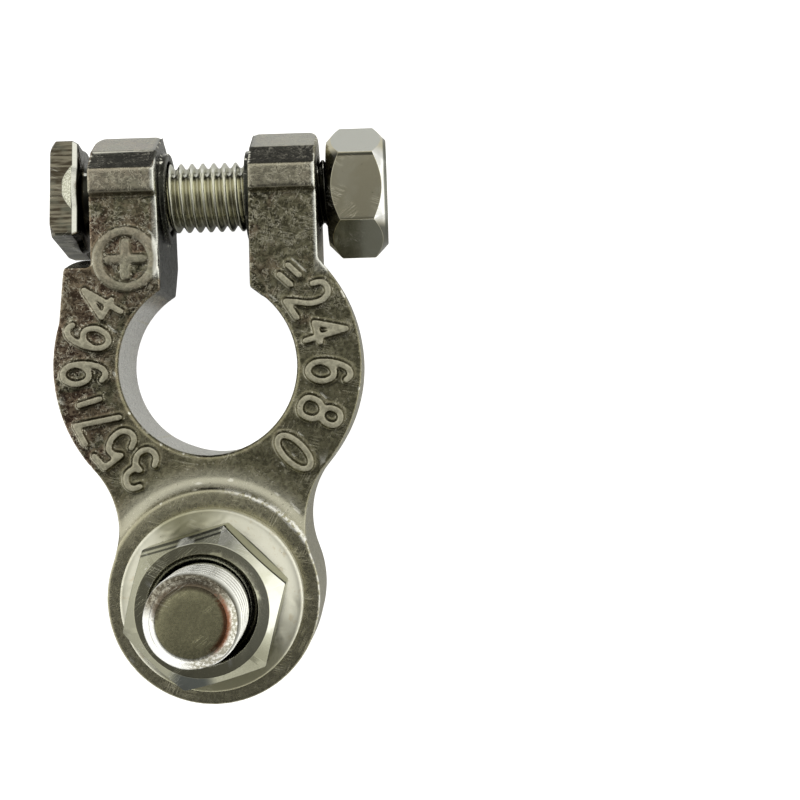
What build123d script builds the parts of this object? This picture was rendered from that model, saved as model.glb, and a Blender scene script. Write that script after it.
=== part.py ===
from build123d import *
import os
from math import cos, radians, sin, sqrt, tan

# Battery terminal clamp for a tapered post, with a stud for a ring cable lug.
# Sizes are millimetres. The origin is the axis of the post bore on the flat back
# face: +Z leaves the lettered face, +Y runs to the clamping ears, and +X runs
# along the clamp bolt from its square head to its nut.

# Casting, heights and draft
FACE_Z = 15.0            # lettered face above the back face
PAD_RISE = 0.8           # boss rim and ear pads above the lettered face
DRAFT = 1.0              # degrees, each way from the parting plane
EDGE_R = 0.3             # cast edge round, and the break at the mouth of the bore

# Casting, ring and post bore
BORE_R = 9.9
RING_WALL = 7.3
LEAD_OUT = 1.6           # eccentric lead-in at the back face, beyond the bore
LEAD_SHIFT = 1.7         # its centre, towards the ears
LEAD_DEPTH = 2.9
LEAD_OVERRUN = 0.3       # past the depth where it has met the bore

# Casting, boss for the stud
BOSS_OFFSET = 8.4        # boss centre beyond the ring
BOSS_WALL = 2.27         # round the corners of the head recess
FLARE_W = 1.35           # hollow flare round the boss rim
FLARE_SAG = 0.15
WAIST_R = 10.0           # hollow of the waist between ring and boss

# Casting, ears
BOLT_OFFSET = 9.6        # clamp bolt axis beyond the bore wall
EAR_BEYOND = 7.2         # ear end beyond the clamp bolt axis
EAR_THICK = 7.75
EAR_CORNER_R = 1.1
SLOT_CORNER_R = 0.8      # the same at the mouth of the gap
END_STEP = 2.35          # length of each of the two end facets
KNEE_Z = 2.8             # height of the outer one
PAD_STEP = 0.52          # slope up to the ear pad
SLOT_HALF = 4.95         # half the gap between the ears at the bore
SLOT_OPEN = 0.25         # what it gains by the ear ends
EAR_BOSS_WALL = 0.9      # round boss on the inner face of each ear, about its hole
EAR_BOSS_GAP = 4.4       # half the gap between those bosses

# Casting, ledge under the square head
LEDGE_X = 2.9            # corner beyond the ear side
LEDGE_FOOT_Y = 5.2       # where its side runs into the ring
LEDGE_CORNER_R = 2.0
LEDGE_SLOPE_Y = 1.2      # front slope, run and height
LEDGE_SLOPE_Z = 3.5
ROOT_R = 0.7             # round where the other ear meets the ring

# Ejector marks on the back face
MARK_DEPTH = 0.25
MARK_R = 2.15
MARK_SMALL_R = 1.35
MARK_EAR_IN = 2.9        # from the ear side
MARK_EAR_DROP = 0.75     # below the top of the ledge
MARK_SMALL_IN = 1.85     # from the boss edge
MARK_SMALL_TURN = 21.7   # degrees below the X axis

# M8 clamp bolt and nut
CLAMP_R = 3.95
CLAMP_SIDE = 11.0        # square head
CLAMP_HEAD_H = 3.1
CLAMP_HEAD_GAP = 1.4     # open gap from the head to the ear
CLAMP_TURN = -10.0       # how the head sits, degrees about X
CLAMP_FLAT_R = 6.3       # outer face inside the corner chamfer
CLAMP_COLLAR_R = 6.02    # round collar that breaks through the flats
CLAMP_COLLAR_H = 1.1
CLAMP_BEVEL = 0.6
CLAMP_NUT_AF = 13.0
CLAMP_NUT_H = 6.8
CLAMP_NUT_GAP = 0.95
CLAMP_SHORT = 0.55       # bolt end inside the outer face of the nut

# M10 terminal bolt, washer and nut
STUD_R = 4.92            # thread crests
STUD_THREAD = 0.41       # from the crests to the pitch radius, drawn where it is engaged
STUD_AF = 16.0
STUD_HEAD_H = 6.4
STUD_SINK = 0.2          # head below the back face
STUD_OUT = 8.5           # tip above the nut
STUD_CHAMFER = 1.27
STUD_NUT_AF = 15.4
STUD_NUT_H = 8.0
STUD_NUT_TURN = 15.0     # a corner's angle from +X
WASHER_RIM = 2.3         # beyond the flats of the nut
WASHER_T = 2.0
WASHER_EDGE = 0.2

# Clearances, radial
THREAD_FIT = 0.05        # nut over its bolt
HOLE_FIT = 0.35          # bolt through a plain hole
HEAD_FIT = 0.3           # bolt head in its recess
LEDGE_GAP = 0.68         # ledge under the square head

NUT_SLOPE = tan(radians(44.0))       # corner chamfer of hexagons
SQUARE_SLOPE = tan(radians(38.0))    # and of the square head
FLAT_SHARE = 0.91                    # chamfer circle over the distance to a flat
THREAD_CHAMFER = 0.9                 # countersink depth at each nut face
BIG = 200.0                          # reach of a cutting tool
TINY = 0.001                         # tolerance when an edge is picked by its place

RING_R = BORE_R + RING_WALL
LEAD_R = BORE_R + LEAD_OUT
RECESS_R = (STUD_AF / 2 + HEAD_FIT) / cos(radians(30.0))
BOSS_R = RECESS_R + BOSS_WALL
TOP_Z = FACE_Z + PAD_RISE
PART_Z = TOP_Z / 2
BOSS_Y = -RING_R - BOSS_OFFSET
BOLT_Y = BORE_R + BOLT_OFFSET
EAR_END_Y = BOLT_Y + EAR_BEYOND
EAR_X = SLOT_HALF + EAR_THICK
HEAD_REACH = CLAMP_SIDE / 2 * (cos(radians(CLAMP_TURN)) + abs(sin(radians(CLAMP_TURN))))
LEDGE_Y = BOLT_Y - HEAD_REACH - LEDGE_GAP
HEAD_X = -EAR_X - CLAMP_HEAD_GAP
CLAMP_NUT_X = EAR_X + CLAMP_NUT_GAP
CLAMP_END_X = CLAMP_NUT_X + CLAMP_NUT_H - CLAMP_SHORT
STUD_SEAT_Z = STUD_SINK + STUD_HEAD_H
STUD_TIP_R = STUD_R - STUD_CHAMFER
WASHER_R = STUD_NUT_AF / 2 + WASHER_RIM
CLAMP_HOLE_R = CLAMP_R + HOLE_FIT
EAR_BOSS_R = CLAMP_HOLE_R + EAR_BOSS_WALL
NUT_Z = TOP_Z + WASHER_T
NUT_TOP_Z = NUT_Z + STUD_NUT_H
STUD_TIP_Z = NUT_TOP_Z + STUD_OUT

BOLT_PLANE = Plane(origin=(0, BOLT_Y, PART_Z), x_dir=(0, 1, 0), z_dir=(1, 0, 0))


# ---------------------------------------------------------------- casting

def waist_face():
    """Web between ring and boss, hollowed by a tangent circle on each side."""
    reach = RING_R + WAIST_R
    lower = BOSS_R + WAIST_R
    y = (BOSS_Y ** 2 + reach ** 2 - lower ** 2) / (2 * BOSS_Y)
    x = sqrt(reach ** 2 - y ** 2)
    web = make_face(Polyline((0, 0), (x, y), (0, BOSS_Y), (-x, y), close=True))
    return web - Pos(x, y) * Circle(WAIST_R) - Pos(-x, y) * Circle(WAIST_R)


def ear_face():
    block = Pos(0, EAR_END_Y / 2) * Rectangle(2 * EAR_X, EAR_END_Y)
    ends = block.vertices().group_by(Axis.Y)[-1]
    return fillet(ends, EAR_CORNER_R)


def ledge_face():
    """Shoulder beside the ear that keeps the square head from turning."""
    corner_x = -EAR_X - LEDGE_X
    foot_x = -sqrt(RING_R ** 2 - LEDGE_FOOT_Y ** 2)
    lean = (corner_x - foot_x) / (LEDGE_Y - LEDGE_FOOT_Y)
    base_x = foot_x - lean * LEDGE_FOOT_Y
    outline = Polyline((0, LEDGE_Y), (corner_x, LEDGE_Y), (base_x, 0), (0, 0), close=True)
    face = make_face(outline)
    corner = face.vertices().sort_by_distance((corner_x, LEDGE_Y))[0]
    return fillet(corner, LEDGE_CORNER_R)


def plan_outline():
    plan = Circle(RING_R) + waist_face() + Pos(0, BOSS_Y) * Circle(BOSS_R) + ear_face()
    root = plan.vertices().sort_by_distance((EAR_X, sqrt(RING_R ** 2 - EAR_X ** 2)))[0]
    return fillet(root, ROOT_R)


def drafted(face):
    """Prism of a plan face, drawn in by the draft above and below the parting plane."""
    upper = extrude(Pos(0, 0, PART_Z) * face, PART_Z)
    walls = upper.faces().filter_by(lambda wall: abs(wall.normal_at().Z) < sin(radians(DRAFT)))
    upper = draft(walls, Plane.XY.offset(PART_Z), DRAFT)
    return upper + mirror(upper, Plane.XY.offset(PART_Z))


def ledge():
    """The shoulder, with a slope on its front that starts behind the head's corner."""
    low = FACE_Z - LEDGE_SLOPE_Z
    far = LEDGE_Y + BIG
    outline = Polyline(
        (LEDGE_Y, low), (far, low), (far, BIG), (LEDGE_Y - LEDGE_SLOPE_Y, BIG),
        (LEDGE_Y - LEDGE_SLOPE_Y, FACE_Z),
        close=True,
    )
    return drafted(ledge_face()) - extrude(Plane.YZ * make_face(outline), BIG, both=True)


def side_profile():
    """Section across X: faces, ear pad, and the two end facets of each side."""
    knee_y = EAR_END_Y - END_STEP
    flat_y = EAR_END_Y - 2 * END_STEP
    outline = Polyline(
        (-BIG, 0), (flat_y, 0), (knee_y, KNEE_Z), (EAR_END_Y, PART_Z),
        (knee_y, TOP_Z - KNEE_Z), (flat_y, TOP_Z), (BOLT_Y, TOP_Z),
        (BOLT_Y - PAD_STEP, FACE_Z), (-BIG, FACE_Z),
        close=True,
    )
    return extrude(Plane.YZ * make_face(outline), BIG, both=True)


def boss_rim():
    """Raised boss rim with its hollow flare down to the lettered face."""
    foot_r = BOSS_R + FLARE_W
    run = sqrt(FLARE_W ** 2 + PAD_RISE ** 2)
    sag_r = (BOSS_R + foot_r) / 2 - FLARE_SAG * PAD_RISE / run
    sag_z = (FACE_Z + TOP_Z) / 2 - FLARE_SAG * FLARE_W / run
    edge = [
        Line((0, PART_Z), (foot_r, PART_Z)),
        Line((foot_r, PART_Z), (foot_r, FACE_Z)),
        ThreePointArc((foot_r, FACE_Z), (sag_r, sag_z), (BOSS_R, TOP_Z)),
        Line((BOSS_R, TOP_Z), (0, TOP_Z)),
        Line((0, TOP_Z), (0, PART_Z)),
    ]
    half = Plane.XZ * make_face(edge)
    return Pos(0, BOSS_Y) * revolve(half, Axis.Z)


def lead_in():
    """Eccentric funnel at the back: deep beside the slot, nothing opposite it."""
    depth = LEAD_DEPTH + LEAD_OVERRUN
    shrink = (LEAD_R + LEAD_SHIFT - BORE_R) / (2 * LEAD_DEPTH)
    wide = Pos(0, LEAD_SHIFT, 0) * Circle(LEAD_R)
    narrow = Pos(0, LEAD_SHIFT - shrink * depth, depth) * Circle(LEAD_R - shrink * depth)
    return loft([wide, narrow])


def slot_wedge():
    """Cutter for the gap between the ears, running on past their ends."""
    end_y = EAR_END_Y + EAR_BEYOND
    end_x = SLOT_HALF + SLOT_OPEN * (end_y - BORE_R) / (EAR_END_Y - BORE_R)
    outline = Polyline(
        (-SLOT_HALF, 0), (SLOT_HALF, 0), (SLOT_HALF, BORE_R), (end_x, end_y),
        (-end_x, end_y), (-SLOT_HALF, BORE_R),
        close=True,
    )
    cut = make_face(outline)
    round_x = SLOT_HALF + SLOT_OPEN + SLOT_CORNER_R
    round_y = EAR_END_Y - SLOT_CORNER_R
    for side in (-1, 1):
        block = Rectangle(SLOT_CORNER_R, end_y - round_y)
        block = Pos(side * (round_x - SLOT_CORNER_R / 2), (round_y + end_y) / 2) * block
        cut = cut + (block - Pos(side * round_x, round_y) * Circle(SLOT_CORNER_R))
    return extrude(cut, BIG, both=True)


def ear_bosses():
    inner = BOLT_PLANE * Cylinder(EAR_BOSS_R, 2 * (SLOT_HALF + SLOT_OPEN + EDGE_R))
    return inner - BOLT_PLANE * Cylinder(EAR_BOSS_R + BIG, 2 * EAR_BOSS_GAP)


def head_recess():
    """Pocket in the back for the terminal bolt's head, with the stud hole."""
    pocket = extrude(RegularPolygon(RECESS_R, 6), STUD_SEAT_Z)
    return Pos(0, BOSS_Y) * (pocket + Cylinder(STUD_R + HOLE_FIT, BIG))


def ejector_marks():
    ear_x = EAR_X - MARK_EAR_IN
    middle_y = (BOSS_Y + STUD_AF / 2 - BORE_R) / 2
    ear_y = LEDGE_Y - MARK_EAR_DROP
    small_x = (BOSS_R - MARK_SMALL_IN) * cos(radians(MARK_SMALL_TURN))
    small_y = BOSS_Y - (BOSS_R - MARK_SMALL_IN) * sin(radians(MARK_SMALL_TURN))
    spots = [(0, middle_y, MARK_R)]
    spots += [(side * ear_x, ear_y, MARK_R) for side in (-1, 1)]
    spots += [(side * small_x, small_y, MARK_SMALL_R) for side in (-1, 1)]
    return [Pos(x, y) * Cylinder(r, 2 * MARK_DEPTH) for x, y, r in spots]


def soften(body):
    """Cast rounds on the ear pads and on the knees between the end facets."""
    straight = body.edges().filter_by(GeomType.LINE)
    pads = straight.filter_by_position(Axis.Z, TOP_Z - TINY, TOP_Z + TINY)
    knee_y = EAR_END_Y - END_STEP
    knees = straight.filter_by(Axis.X).filter_by_position(Axis.Y, knee_y - TINY, knee_y + TINY)
    return fillet(pads + knees, EDGE_R)


def clamp_body():
    body = (drafted(plan_outline()) + ledge()) & (side_profile() + boss_rim())
    body = body - slot_wedge()
    body = body + (ear_bosses() & side_profile())
    body = body - Cylinder(BORE_R, BIG) - lead_in()
    body = body - Pos(0, 0, FACE_Z - EDGE_R / 2) * Cone(BORE_R, BORE_R + EDGE_R, EDGE_R)
    body = body - BOLT_PLANE * Cylinder(CLAMP_HOLE_R, BIG)
    body = body - head_recess() - ejector_marks()
    return soften(body)


# ------------------------------------------------------- heads and nuts

def corner_cone(flat_r, height, slope):
    """Revolved blank whose upper face has the radius flat_r and a chamfer round it."""
    reach = flat_r * 2
    drop = (reach - flat_r) * slope
    outline = Polyline(
        (0, -height), (reach, -height), (reach, height - drop), (flat_r, height), (0, height),
        close=True,
    )
    return revolve(Plane.XZ * make_face(outline), Axis.Z)


def hex_blank(across_flats, height, turn):
    """Hexagonal prism with both faces chamfered, standing on Z = 0."""
    flat_r = across_flats / 2 * FLAT_SHARE
    hexagon = RegularPolygon(across_flats / 2, 6, major_radius=False, rotation=turn)
    blank = Pos(0, 0, -height / 2) * extrude(hexagon, height)
    cone = corner_cone(flat_r, height / 2, NUT_SLOPE)
    blank = blank & cone & mirror(cone, Plane.XY)
    return Pos(0, 0, height / 2) * blank


def hex_nut(across_flats, height, thread_r, turn):
    bore_r = thread_r + THREAD_FIT
    sink = Cone(bore_r + THREAD_CHAMFER, bore_r, THREAD_CHAMFER)
    low = Pos(0, 0, THREAD_CHAMFER / 2) * sink
    high = Pos(0, 0, height) * mirror(low, Plane.XY)
    return hex_blank(across_flats, height, turn) - Cylinder(bore_r, BIG) - low - high


def rod(radius, low, high):
    return Pos(0, 0, (low + high) / 2) * Cylinder(radius, high - low)


def tip(radius, tip_r, top):
    """End chamfer at 45 degrees, from radius down to tip_r at the height top."""
    run = radius - tip_r
    return Pos(0, 0, top - run / 2) * Cone(radius, tip_r, run)


# ---------------------------------------------------------- clamp bolt

def clamp_head():
    """Square head, its seat on Z = 0 and its outer face below."""
    square = extrude(Rectangle(CLAMP_SIDE, CLAMP_SIDE), -CLAMP_HEAD_H)
    square = chamfer(square.faces().sort_by(Axis.Z)[-1].edges(), CLAMP_BEVEL)
    square = square & mirror(corner_cone(CLAMP_FLAT_R, CLAMP_HEAD_H, SQUARE_SLOPE), Plane.XY)
    collar_top = -CLAMP_BEVEL
    collar = Cone(CLAMP_SIDE / 2, CLAMP_COLLAR_R, CLAMP_COLLAR_H)
    lip = Cone(CLAMP_COLLAR_R, CLAMP_COLLAR_R - CLAMP_BEVEL, CLAMP_BEVEL)
    square = square + Pos(0, 0, collar_top - CLAMP_COLLAR_H / 2) * collar
    return square + Pos(0, 0, collar_top / 2) * lip


def clamp_bolt():
    length = CLAMP_END_X - HEAD_X
    point_r = CLAMP_R - THREAD_CHAMFER
    shank = rod(CLAMP_R, 0, length - THREAD_CHAMFER) + tip(CLAMP_R, point_r, length)
    head = Rot(0, 0, CLAMP_TURN) * clamp_head()
    return BOLT_PLANE.offset(HEAD_X) * (head + shank)


def clamp_nut():
    nut = hex_nut(CLAMP_NUT_AF, CLAMP_NUT_H, CLAMP_R, 0)
    return BOLT_PLANE.offset(CLAMP_NUT_X) * nut


# ------------------------------------------------------- terminal stud

def terminal_bolt():
    """Bolt from the back; above the nut the crests of its thread stand free."""
    head = Pos(0, 0, STUD_SINK) * hex_blank(STUD_AF, STUD_HEAD_H, 0)
    bolt = head + rod(STUD_R - STUD_THREAD, STUD_SINK, NUT_TOP_Z)
    bolt = bolt + rod(STUD_R, NUT_TOP_Z, STUD_TIP_Z - STUD_CHAMFER)
    return Pos(0, BOSS_Y) * (bolt + tip(STUD_R, STUD_TIP_R, STUD_TIP_Z))


def washer():
    ring = Cylinder(WASHER_R, WASHER_T) - Cylinder(STUD_R + HOLE_FIT, WASHER_T)
    rims = ring.edges().filter_by(GeomType.CIRCLE).sort_by(SortBy.RADIUS)[-2:]
    return Pos(0, BOSS_Y, TOP_Z + WASHER_T / 2) * chamfer(rims, WASHER_EDGE)


def stud_nut():
    nut = hex_nut(STUD_NUT_AF, STUD_NUT_H, STUD_R, STUD_NUT_TURN)
    return Pos(0, BOSS_Y, NUT_Z) * nut


PARTS = {
    "clamp_body": clamp_body,
    "clamp_bolt": clamp_bolt,
    "clamp_nut": clamp_nut,
    "terminal_bolt": terminal_bolt,
    "washer": washer,
    "stud_nut": stud_nut,
}

os.makedirs("parts", exist_ok=True)
for name, make in PARTS.items():
    export_step(make(), f"parts/{name}.step")
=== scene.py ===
from math import acos, atan2, cos, pi, radians, sin, tan

import bmesh
import bpy
from mathutils import Matrix, Vector

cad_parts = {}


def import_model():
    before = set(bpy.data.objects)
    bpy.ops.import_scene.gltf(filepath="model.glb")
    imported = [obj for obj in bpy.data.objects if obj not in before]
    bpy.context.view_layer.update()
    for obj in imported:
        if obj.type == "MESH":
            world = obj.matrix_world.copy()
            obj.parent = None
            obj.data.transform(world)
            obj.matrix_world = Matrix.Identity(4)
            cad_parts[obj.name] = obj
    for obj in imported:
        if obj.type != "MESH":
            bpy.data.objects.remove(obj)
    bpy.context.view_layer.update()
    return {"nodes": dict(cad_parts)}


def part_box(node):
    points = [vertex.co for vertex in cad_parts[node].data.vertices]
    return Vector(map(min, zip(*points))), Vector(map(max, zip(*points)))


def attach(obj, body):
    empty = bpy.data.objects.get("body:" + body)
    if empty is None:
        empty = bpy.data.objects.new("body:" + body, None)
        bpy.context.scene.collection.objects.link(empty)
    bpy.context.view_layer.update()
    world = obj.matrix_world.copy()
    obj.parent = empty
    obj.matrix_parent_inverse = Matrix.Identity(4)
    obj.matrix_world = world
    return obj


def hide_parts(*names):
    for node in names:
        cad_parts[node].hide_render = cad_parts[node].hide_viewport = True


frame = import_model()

# Battery terminal clamp. Lengths in this script are millimetres until MM turns them
# into Blender's metres. The frame is the CAD's: the post bore stands on the origin,
# the back face lies on Z = 0, the ears point along +Y and the clamp bolt along +X.

MM = 0.001

# ------------------------------------------------------------------ CAD sizes


def box_mm(node):
    low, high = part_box(node)
    return [v / MM for v in low], [v / MM for v in high]


STUD_LOW, STUD_HIGH = box_mm("terminal_bolt")
BOLT_LOW, BOLT_HIGH = box_mm("clamp_bolt")
NUT_LOW, NUT_HIGH = box_mm("stud_nut")
SIDE_NUT_LOW, SIDE_NUT_HIGH = box_mm("clamp_nut")
WASHER_LOW, WASHER_HIGH = box_mm("washer")

STUD_Y = (WASHER_LOW[1] + WASHER_HIGH[1]) / 2
BOLT_Y = (BOLT_LOW[1] + BOLT_HIGH[1]) / 2
BOLT_Z = (BOLT_LOW[2] + BOLT_HIGH[2]) / 2

FACE_Z = 15.0            # lettered face
BOSS_R = 11.85           # boss rim round the washer
HEAD_AF = 16.0           # M10 head, across flats
NUT_AF = 15.4            # M10 nut
NUT_TURN = 15.0          # and the angle of one of its corners
SIDE_AF = 13.0           # M8 nut
FLAT_SHARE = 0.91        # chamfer circle over the distance to a flat
HEX_SLOPE = tan(radians(44.0))
SQUARE_SLOPE = tan(radians(38.0))
STUD_R = 4.92            # M10 crests
STUD_PITCH = 1.5
BOLT_R = 3.95            # M8 crests
BOLT_PITCH = 1.25
THREAD_DEPTH = 0.5       # of the pitch
CREST_SHARE = 0.16       # crest and flank over half a pitch; the rest is root
FLANK_SHARE = 0.66
THREAD_PLAY = 0.06       # nut thread outside the bolt's
NUT_FIT = 0.05           # foot of its countersink outside the bolt's crests
MINOR_FLAT = 0.14        # its crests outside the bolt's roots
SINK = 0.9               # countersink of a nut

# ------------------------------------------------------------------ mesh tools


def new_object(name, mesh, body, node):
    """Link a finished piece that stands for one CAD node."""
    piece = bpy.data.objects.new(name, mesh)
    bpy.context.scene.collection.objects.link(piece)
    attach(piece, body)
    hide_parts(node)
    return piece


def applied(piece):
    """The piece's mesh with its modifiers applied."""
    graph = bpy.context.evaluated_depsgraph_get()
    mesh = bpy.data.meshes.new_from_object(piece.evaluated_get(graph))
    piece.modifiers.clear()
    piece.data = mesh
    return mesh


def hardware(name, mesh, body, node):
    """A piece whose large flats stay flat in the shading beside their small rounds."""
    piece = new_object(name, mesh, body, node)
    modifier = piece.modifiers.new("normals", "WEIGHTED_NORMAL")
    modifier.weight = 100
    modifier.keep_sharp = True
    applied(piece)
    return piece


def rounded(points, radii, steps=3):
    """Profile with its inner corners rounded; every corner gives the same count of points."""
    out = [points[0]]
    for before, corner, after, radius in zip(points, points[1:], points[2:], radii):
        a = Vector(before) - Vector(corner)
        b = Vector(after) - Vector(corner)
        half = acos(max(-1.0, min(1.0, a.normalized().dot(b.normalized())))) / 2
        reach = min(radius / max(tan(half), 1e-6), 0.45 * a.length, 0.45 * b.length)
        start = Vector(corner) + a.normalized() * reach
        end = Vector(corner) + b.normalized() * reach
        for i in range(steps + 1):
            t = i / steps
            first = start.lerp(Vector(corner), t)
            out.append(tuple(first.lerp(Vector(corner).lerp(end, t), t)))
    out.append(points[-1])
    return out


def lathe(name, angles, profile, place, closed=False):
    """Mesh swept round Z from a profile (r, z) that may change with the angle.

    An open profile starts and ends on the axis; a closed one makes a ring.
    """
    columns = [profile(angle) for angle in angles]
    rows = len(columns[0])
    bm = bmesh.new()
    grid = []
    poles = {}
    for angle, column in zip(angles, columns):
        line = []
        for j, (r, z) in enumerate(column):
            if not closed and j in (0, rows - 1):
                if j not in poles:
                    poles[j] = bm.verts.new((0, 0, z))
                line.append(poles[j])
            else:
                line.append(bm.verts.new((r * cos(angle), r * sin(angle), z)))
        grid.append(line)
    for a, b in zip(grid, grid[1:] + grid[:1]):
        for j in range(rows if closed else rows - 1):
            k = (j + 1) % rows
            # a corner on a pole counts once
            bm.faces.new(list(dict.fromkeys((a[j], b[j], b[k], a[k]))))
    bmesh.ops.recalc_face_normals(bm, faces=bm.faces)
    bmesh.ops.transform(bm, matrix=place, verts=bm.verts)
    bmesh.ops.scale(bm, vec=(MM, MM, MM), verts=bm.verts)
    for face in bm.faces:
        face.smooth = True
    mesh = bpy.data.meshes.new(name)
    bm.to_mesh(mesh)
    bm.free()
    return mesh


# --------------------------------------------------------- threads and polygons


def thread_radius(angle, z, crest, pitch):
    """Right-hand thread with flat crests and roots."""
    phase = (z / pitch - angle / (2 * pi)) % 1.0
    off = abs(phase - 0.5) * 2          # 0 on the crest line, 1 in the root
    flank = max(0.0, min(1.0, (off - CREST_SHARE) / FLANK_SHARE))
    return crest - THREAD_DEPTH * pitch * flank


def steps_between(low, high, step):
    count = max(2, round((high - low) / step))
    return [low + (high - low) * i / count for i in range(count + 1)]


def polygon_angles(turn, sides, even, near):
    """Columns for a polygon: even ones along each flat, and some close to each corner."""
    angles = []
    half = pi / sides
    for side in range(sides):
        middle = radians(turn) + (2 * side + 1) * half
        for i in range(even):
            angles.append(middle - half + 2 * half * (i + 0.5) / even)
        for offset in near:
            angles.append(middle - half + radians(offset))
            if offset > 0:
                angles.append(middle - half - radians(offset))
    return sorted(angle % (2 * pi) for angle in angles)


def polygon_radius(angle, turn, sides, apothem, corner_r):
    """Radius to a polygon with a corner at the angle turn and rounded corners."""
    half = pi / sides
    local = (angle - radians(turn)) % (2 * half) - half
    if apothem * tan(abs(local)) <= apothem * tan(half) - corner_r * tan(half):
        return apothem / cos(local)
    from_corner = half - abs(local)
    centre = (apothem - corner_r) / cos(half)
    inside = corner_r ** 2 - (centre * sin(from_corner)) ** 2
    return centre * cos(from_corner) + max(inside, 0.0) ** 0.5


# ------------------------------------------------------------------ hardware

HEX_CORNER_R = 0.22


def hex_outline(angle, turn, across, low, high):
    """Outer points of a chamfered hexagon, from its lower chamfer circle to the upper."""
    apothem = across / 2
    flat_r = apothem * FLAT_SHARE
    r = polygon_radius(angle, turn, 6, apothem, HEX_CORNER_R)
    drop = (r - flat_r) * HEX_SLOPE
    return [(flat_r, low), (r, low + drop), (r, high - drop), (flat_r, high)]


def nut_profile(turn, across, height, crest, pitch, start):
    """Ring of a nut whose thread keeps step with its bolt's; start is its foot along the axis."""
    bore = crest + NUT_FIT
    minor = crest - THREAD_DEPTH * pitch + MINOR_FLAT
    lip = 0.3                # outer part of the countersink
    rows = steps_between(0.25, height - 0.25, pitch / 12)

    def profile(angle):
        outer = hex_outline(angle, turn, across, 0.0, height)
        ring = rounded(
            [(bore + SINK - lip, lip), (bore + SINK, 0.0)] + outer
            + [(bore + SINK, height), (bore + SINK - lip, height - lip)],
            [0.06, 0.12, 0.14, 0.14, 0.12, 0.06],
        )
        inner = []
        for z in reversed(rows):
            cone = bore + SINK - min(z, height - z)
            cut = max(thread_radius(angle, z + start, crest, pitch) + THREAD_PLAY, minor)
            inner.append((max(cut, cone), z))
        return ring[1:-1] + inner

    return profile


def stud_nut():
    angles = polygon_angles(NUT_TURN, 6, 12, (0.0, 0.45, 0.9, 1.6))
    low = NUT_LOW[2]
    profile = nut_profile(NUT_TURN, NUT_AF, NUT_HIGH[2] - low, STUD_R, STUD_PITCH, low)
    mesh = lathe("stud_nut_hex", angles, profile, Matrix.Translation((0, STUD_Y, low)), True)
    return hardware("stud_nut_hex", mesh, "stud_nut", "stud_nut")


# Axes of the side bolt: local Z runs along +X, local X along +Y.
BOLT_TURN = Matrix(((0, 0, 1, 0), (1, 0, 0, 0), (0, 1, 0, 0), (0, 0, 0, 1)))


def clamp_nut():
    angles = polygon_angles(0.0, 6, 12, (0.0, 0.5, 1.0, 1.8))
    low = SIDE_NUT_LOW[0]
    profile = nut_profile(0.0, SIDE_AF, SIDE_NUT_HIGH[0] - low, BOLT_R, BOLT_PITCH, low)
    place = Matrix.Translation((low, BOLT_Y, BOLT_Z)) @ BOLT_TURN
    mesh = lathe("clamp_nut_hex", angles, profile, place, True)
    return hardware("clamp_nut_hex", mesh, "clamp_nut", "clamp_nut")


HEAD_SEAT_Z = 6.6        # under face of the M10 head
SHANK_IN = 0.41          # shank inside the crests of the M10 thread
SHANK_TOP = 0.6          # plain shank above the foot of the washer
TIP_R = 3.65             # M10 end face
TIP_SLOPE = 1.05         # end chamfers, widening per mm down the bolt


def terminal_bolt():
    angles = polygon_angles(0.0, 6, 12, (0.0, 0.45, 0.9, 1.6))
    low = STUD_LOW[2]
    top = STUD_HIGH[2]
    plain_top = WASHER_LOW[2] + SHANK_TOP
    run_in = 1.2             # length over which the thread deepens
    rows = steps_between(plain_top, top - 0.12, STUD_PITCH / 16)
    shank = STUD_R - SHANK_IN

    def profile(angle):
        outer = hex_outline(angle, 0.0, HEAD_AF, low, HEAD_SEAT_Z)
        head = rounded(
            [(0.0, low)] + outer + [(shank, HEAD_SEAT_Z), (shank, plain_top - 0.4)],
            [0.12, 0.14, 0.14, 0.12, 0.25],
        )
        column = [head[0], (2.0, low), (5.0, low)] + head[1:]
        for z in rows:
            fade = max(0.0, min(1.0, (z - plain_top) / run_in))
            r = shank + (thread_radius(angle, z, STUD_R, STUD_PITCH) - shank) * fade
            column.append((min(r, TIP_R + (top - z) * TIP_SLOPE), z))
        column += [(TIP_R - 0.02, top - 0.03), (TIP_R - 0.12, top), (TIP_R / 2, top), (0.0, top)]
        return column

    mesh = lathe("terminal_bolt_m10", angles, profile, Matrix.Translation((0, STUD_Y, 0)))
    return hardware("terminal_bolt_m10", mesh, "clamp", "terminal_bolt")


HEAD_H = 3.1             # square head
HEAD_SIDE = 11.0
HEAD_CORNER = 35.0       # angle of a corner about the bolt
HEAD_CORNER_R = 0.3
HEAD_CIRCLE = 6.8        # chamfer circle of the outer face
COLLAR_R = 6.02          # round collar that breaks through the flats
COLLAR_H = 1.1
COLLAR_SLOPE = 0.47      # its widening per mm along the bolt
BEVEL = 0.6              # strip on the inner edge, along the bolt
BEVEL_DROP = 0.3         # and its fall over that length


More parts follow.
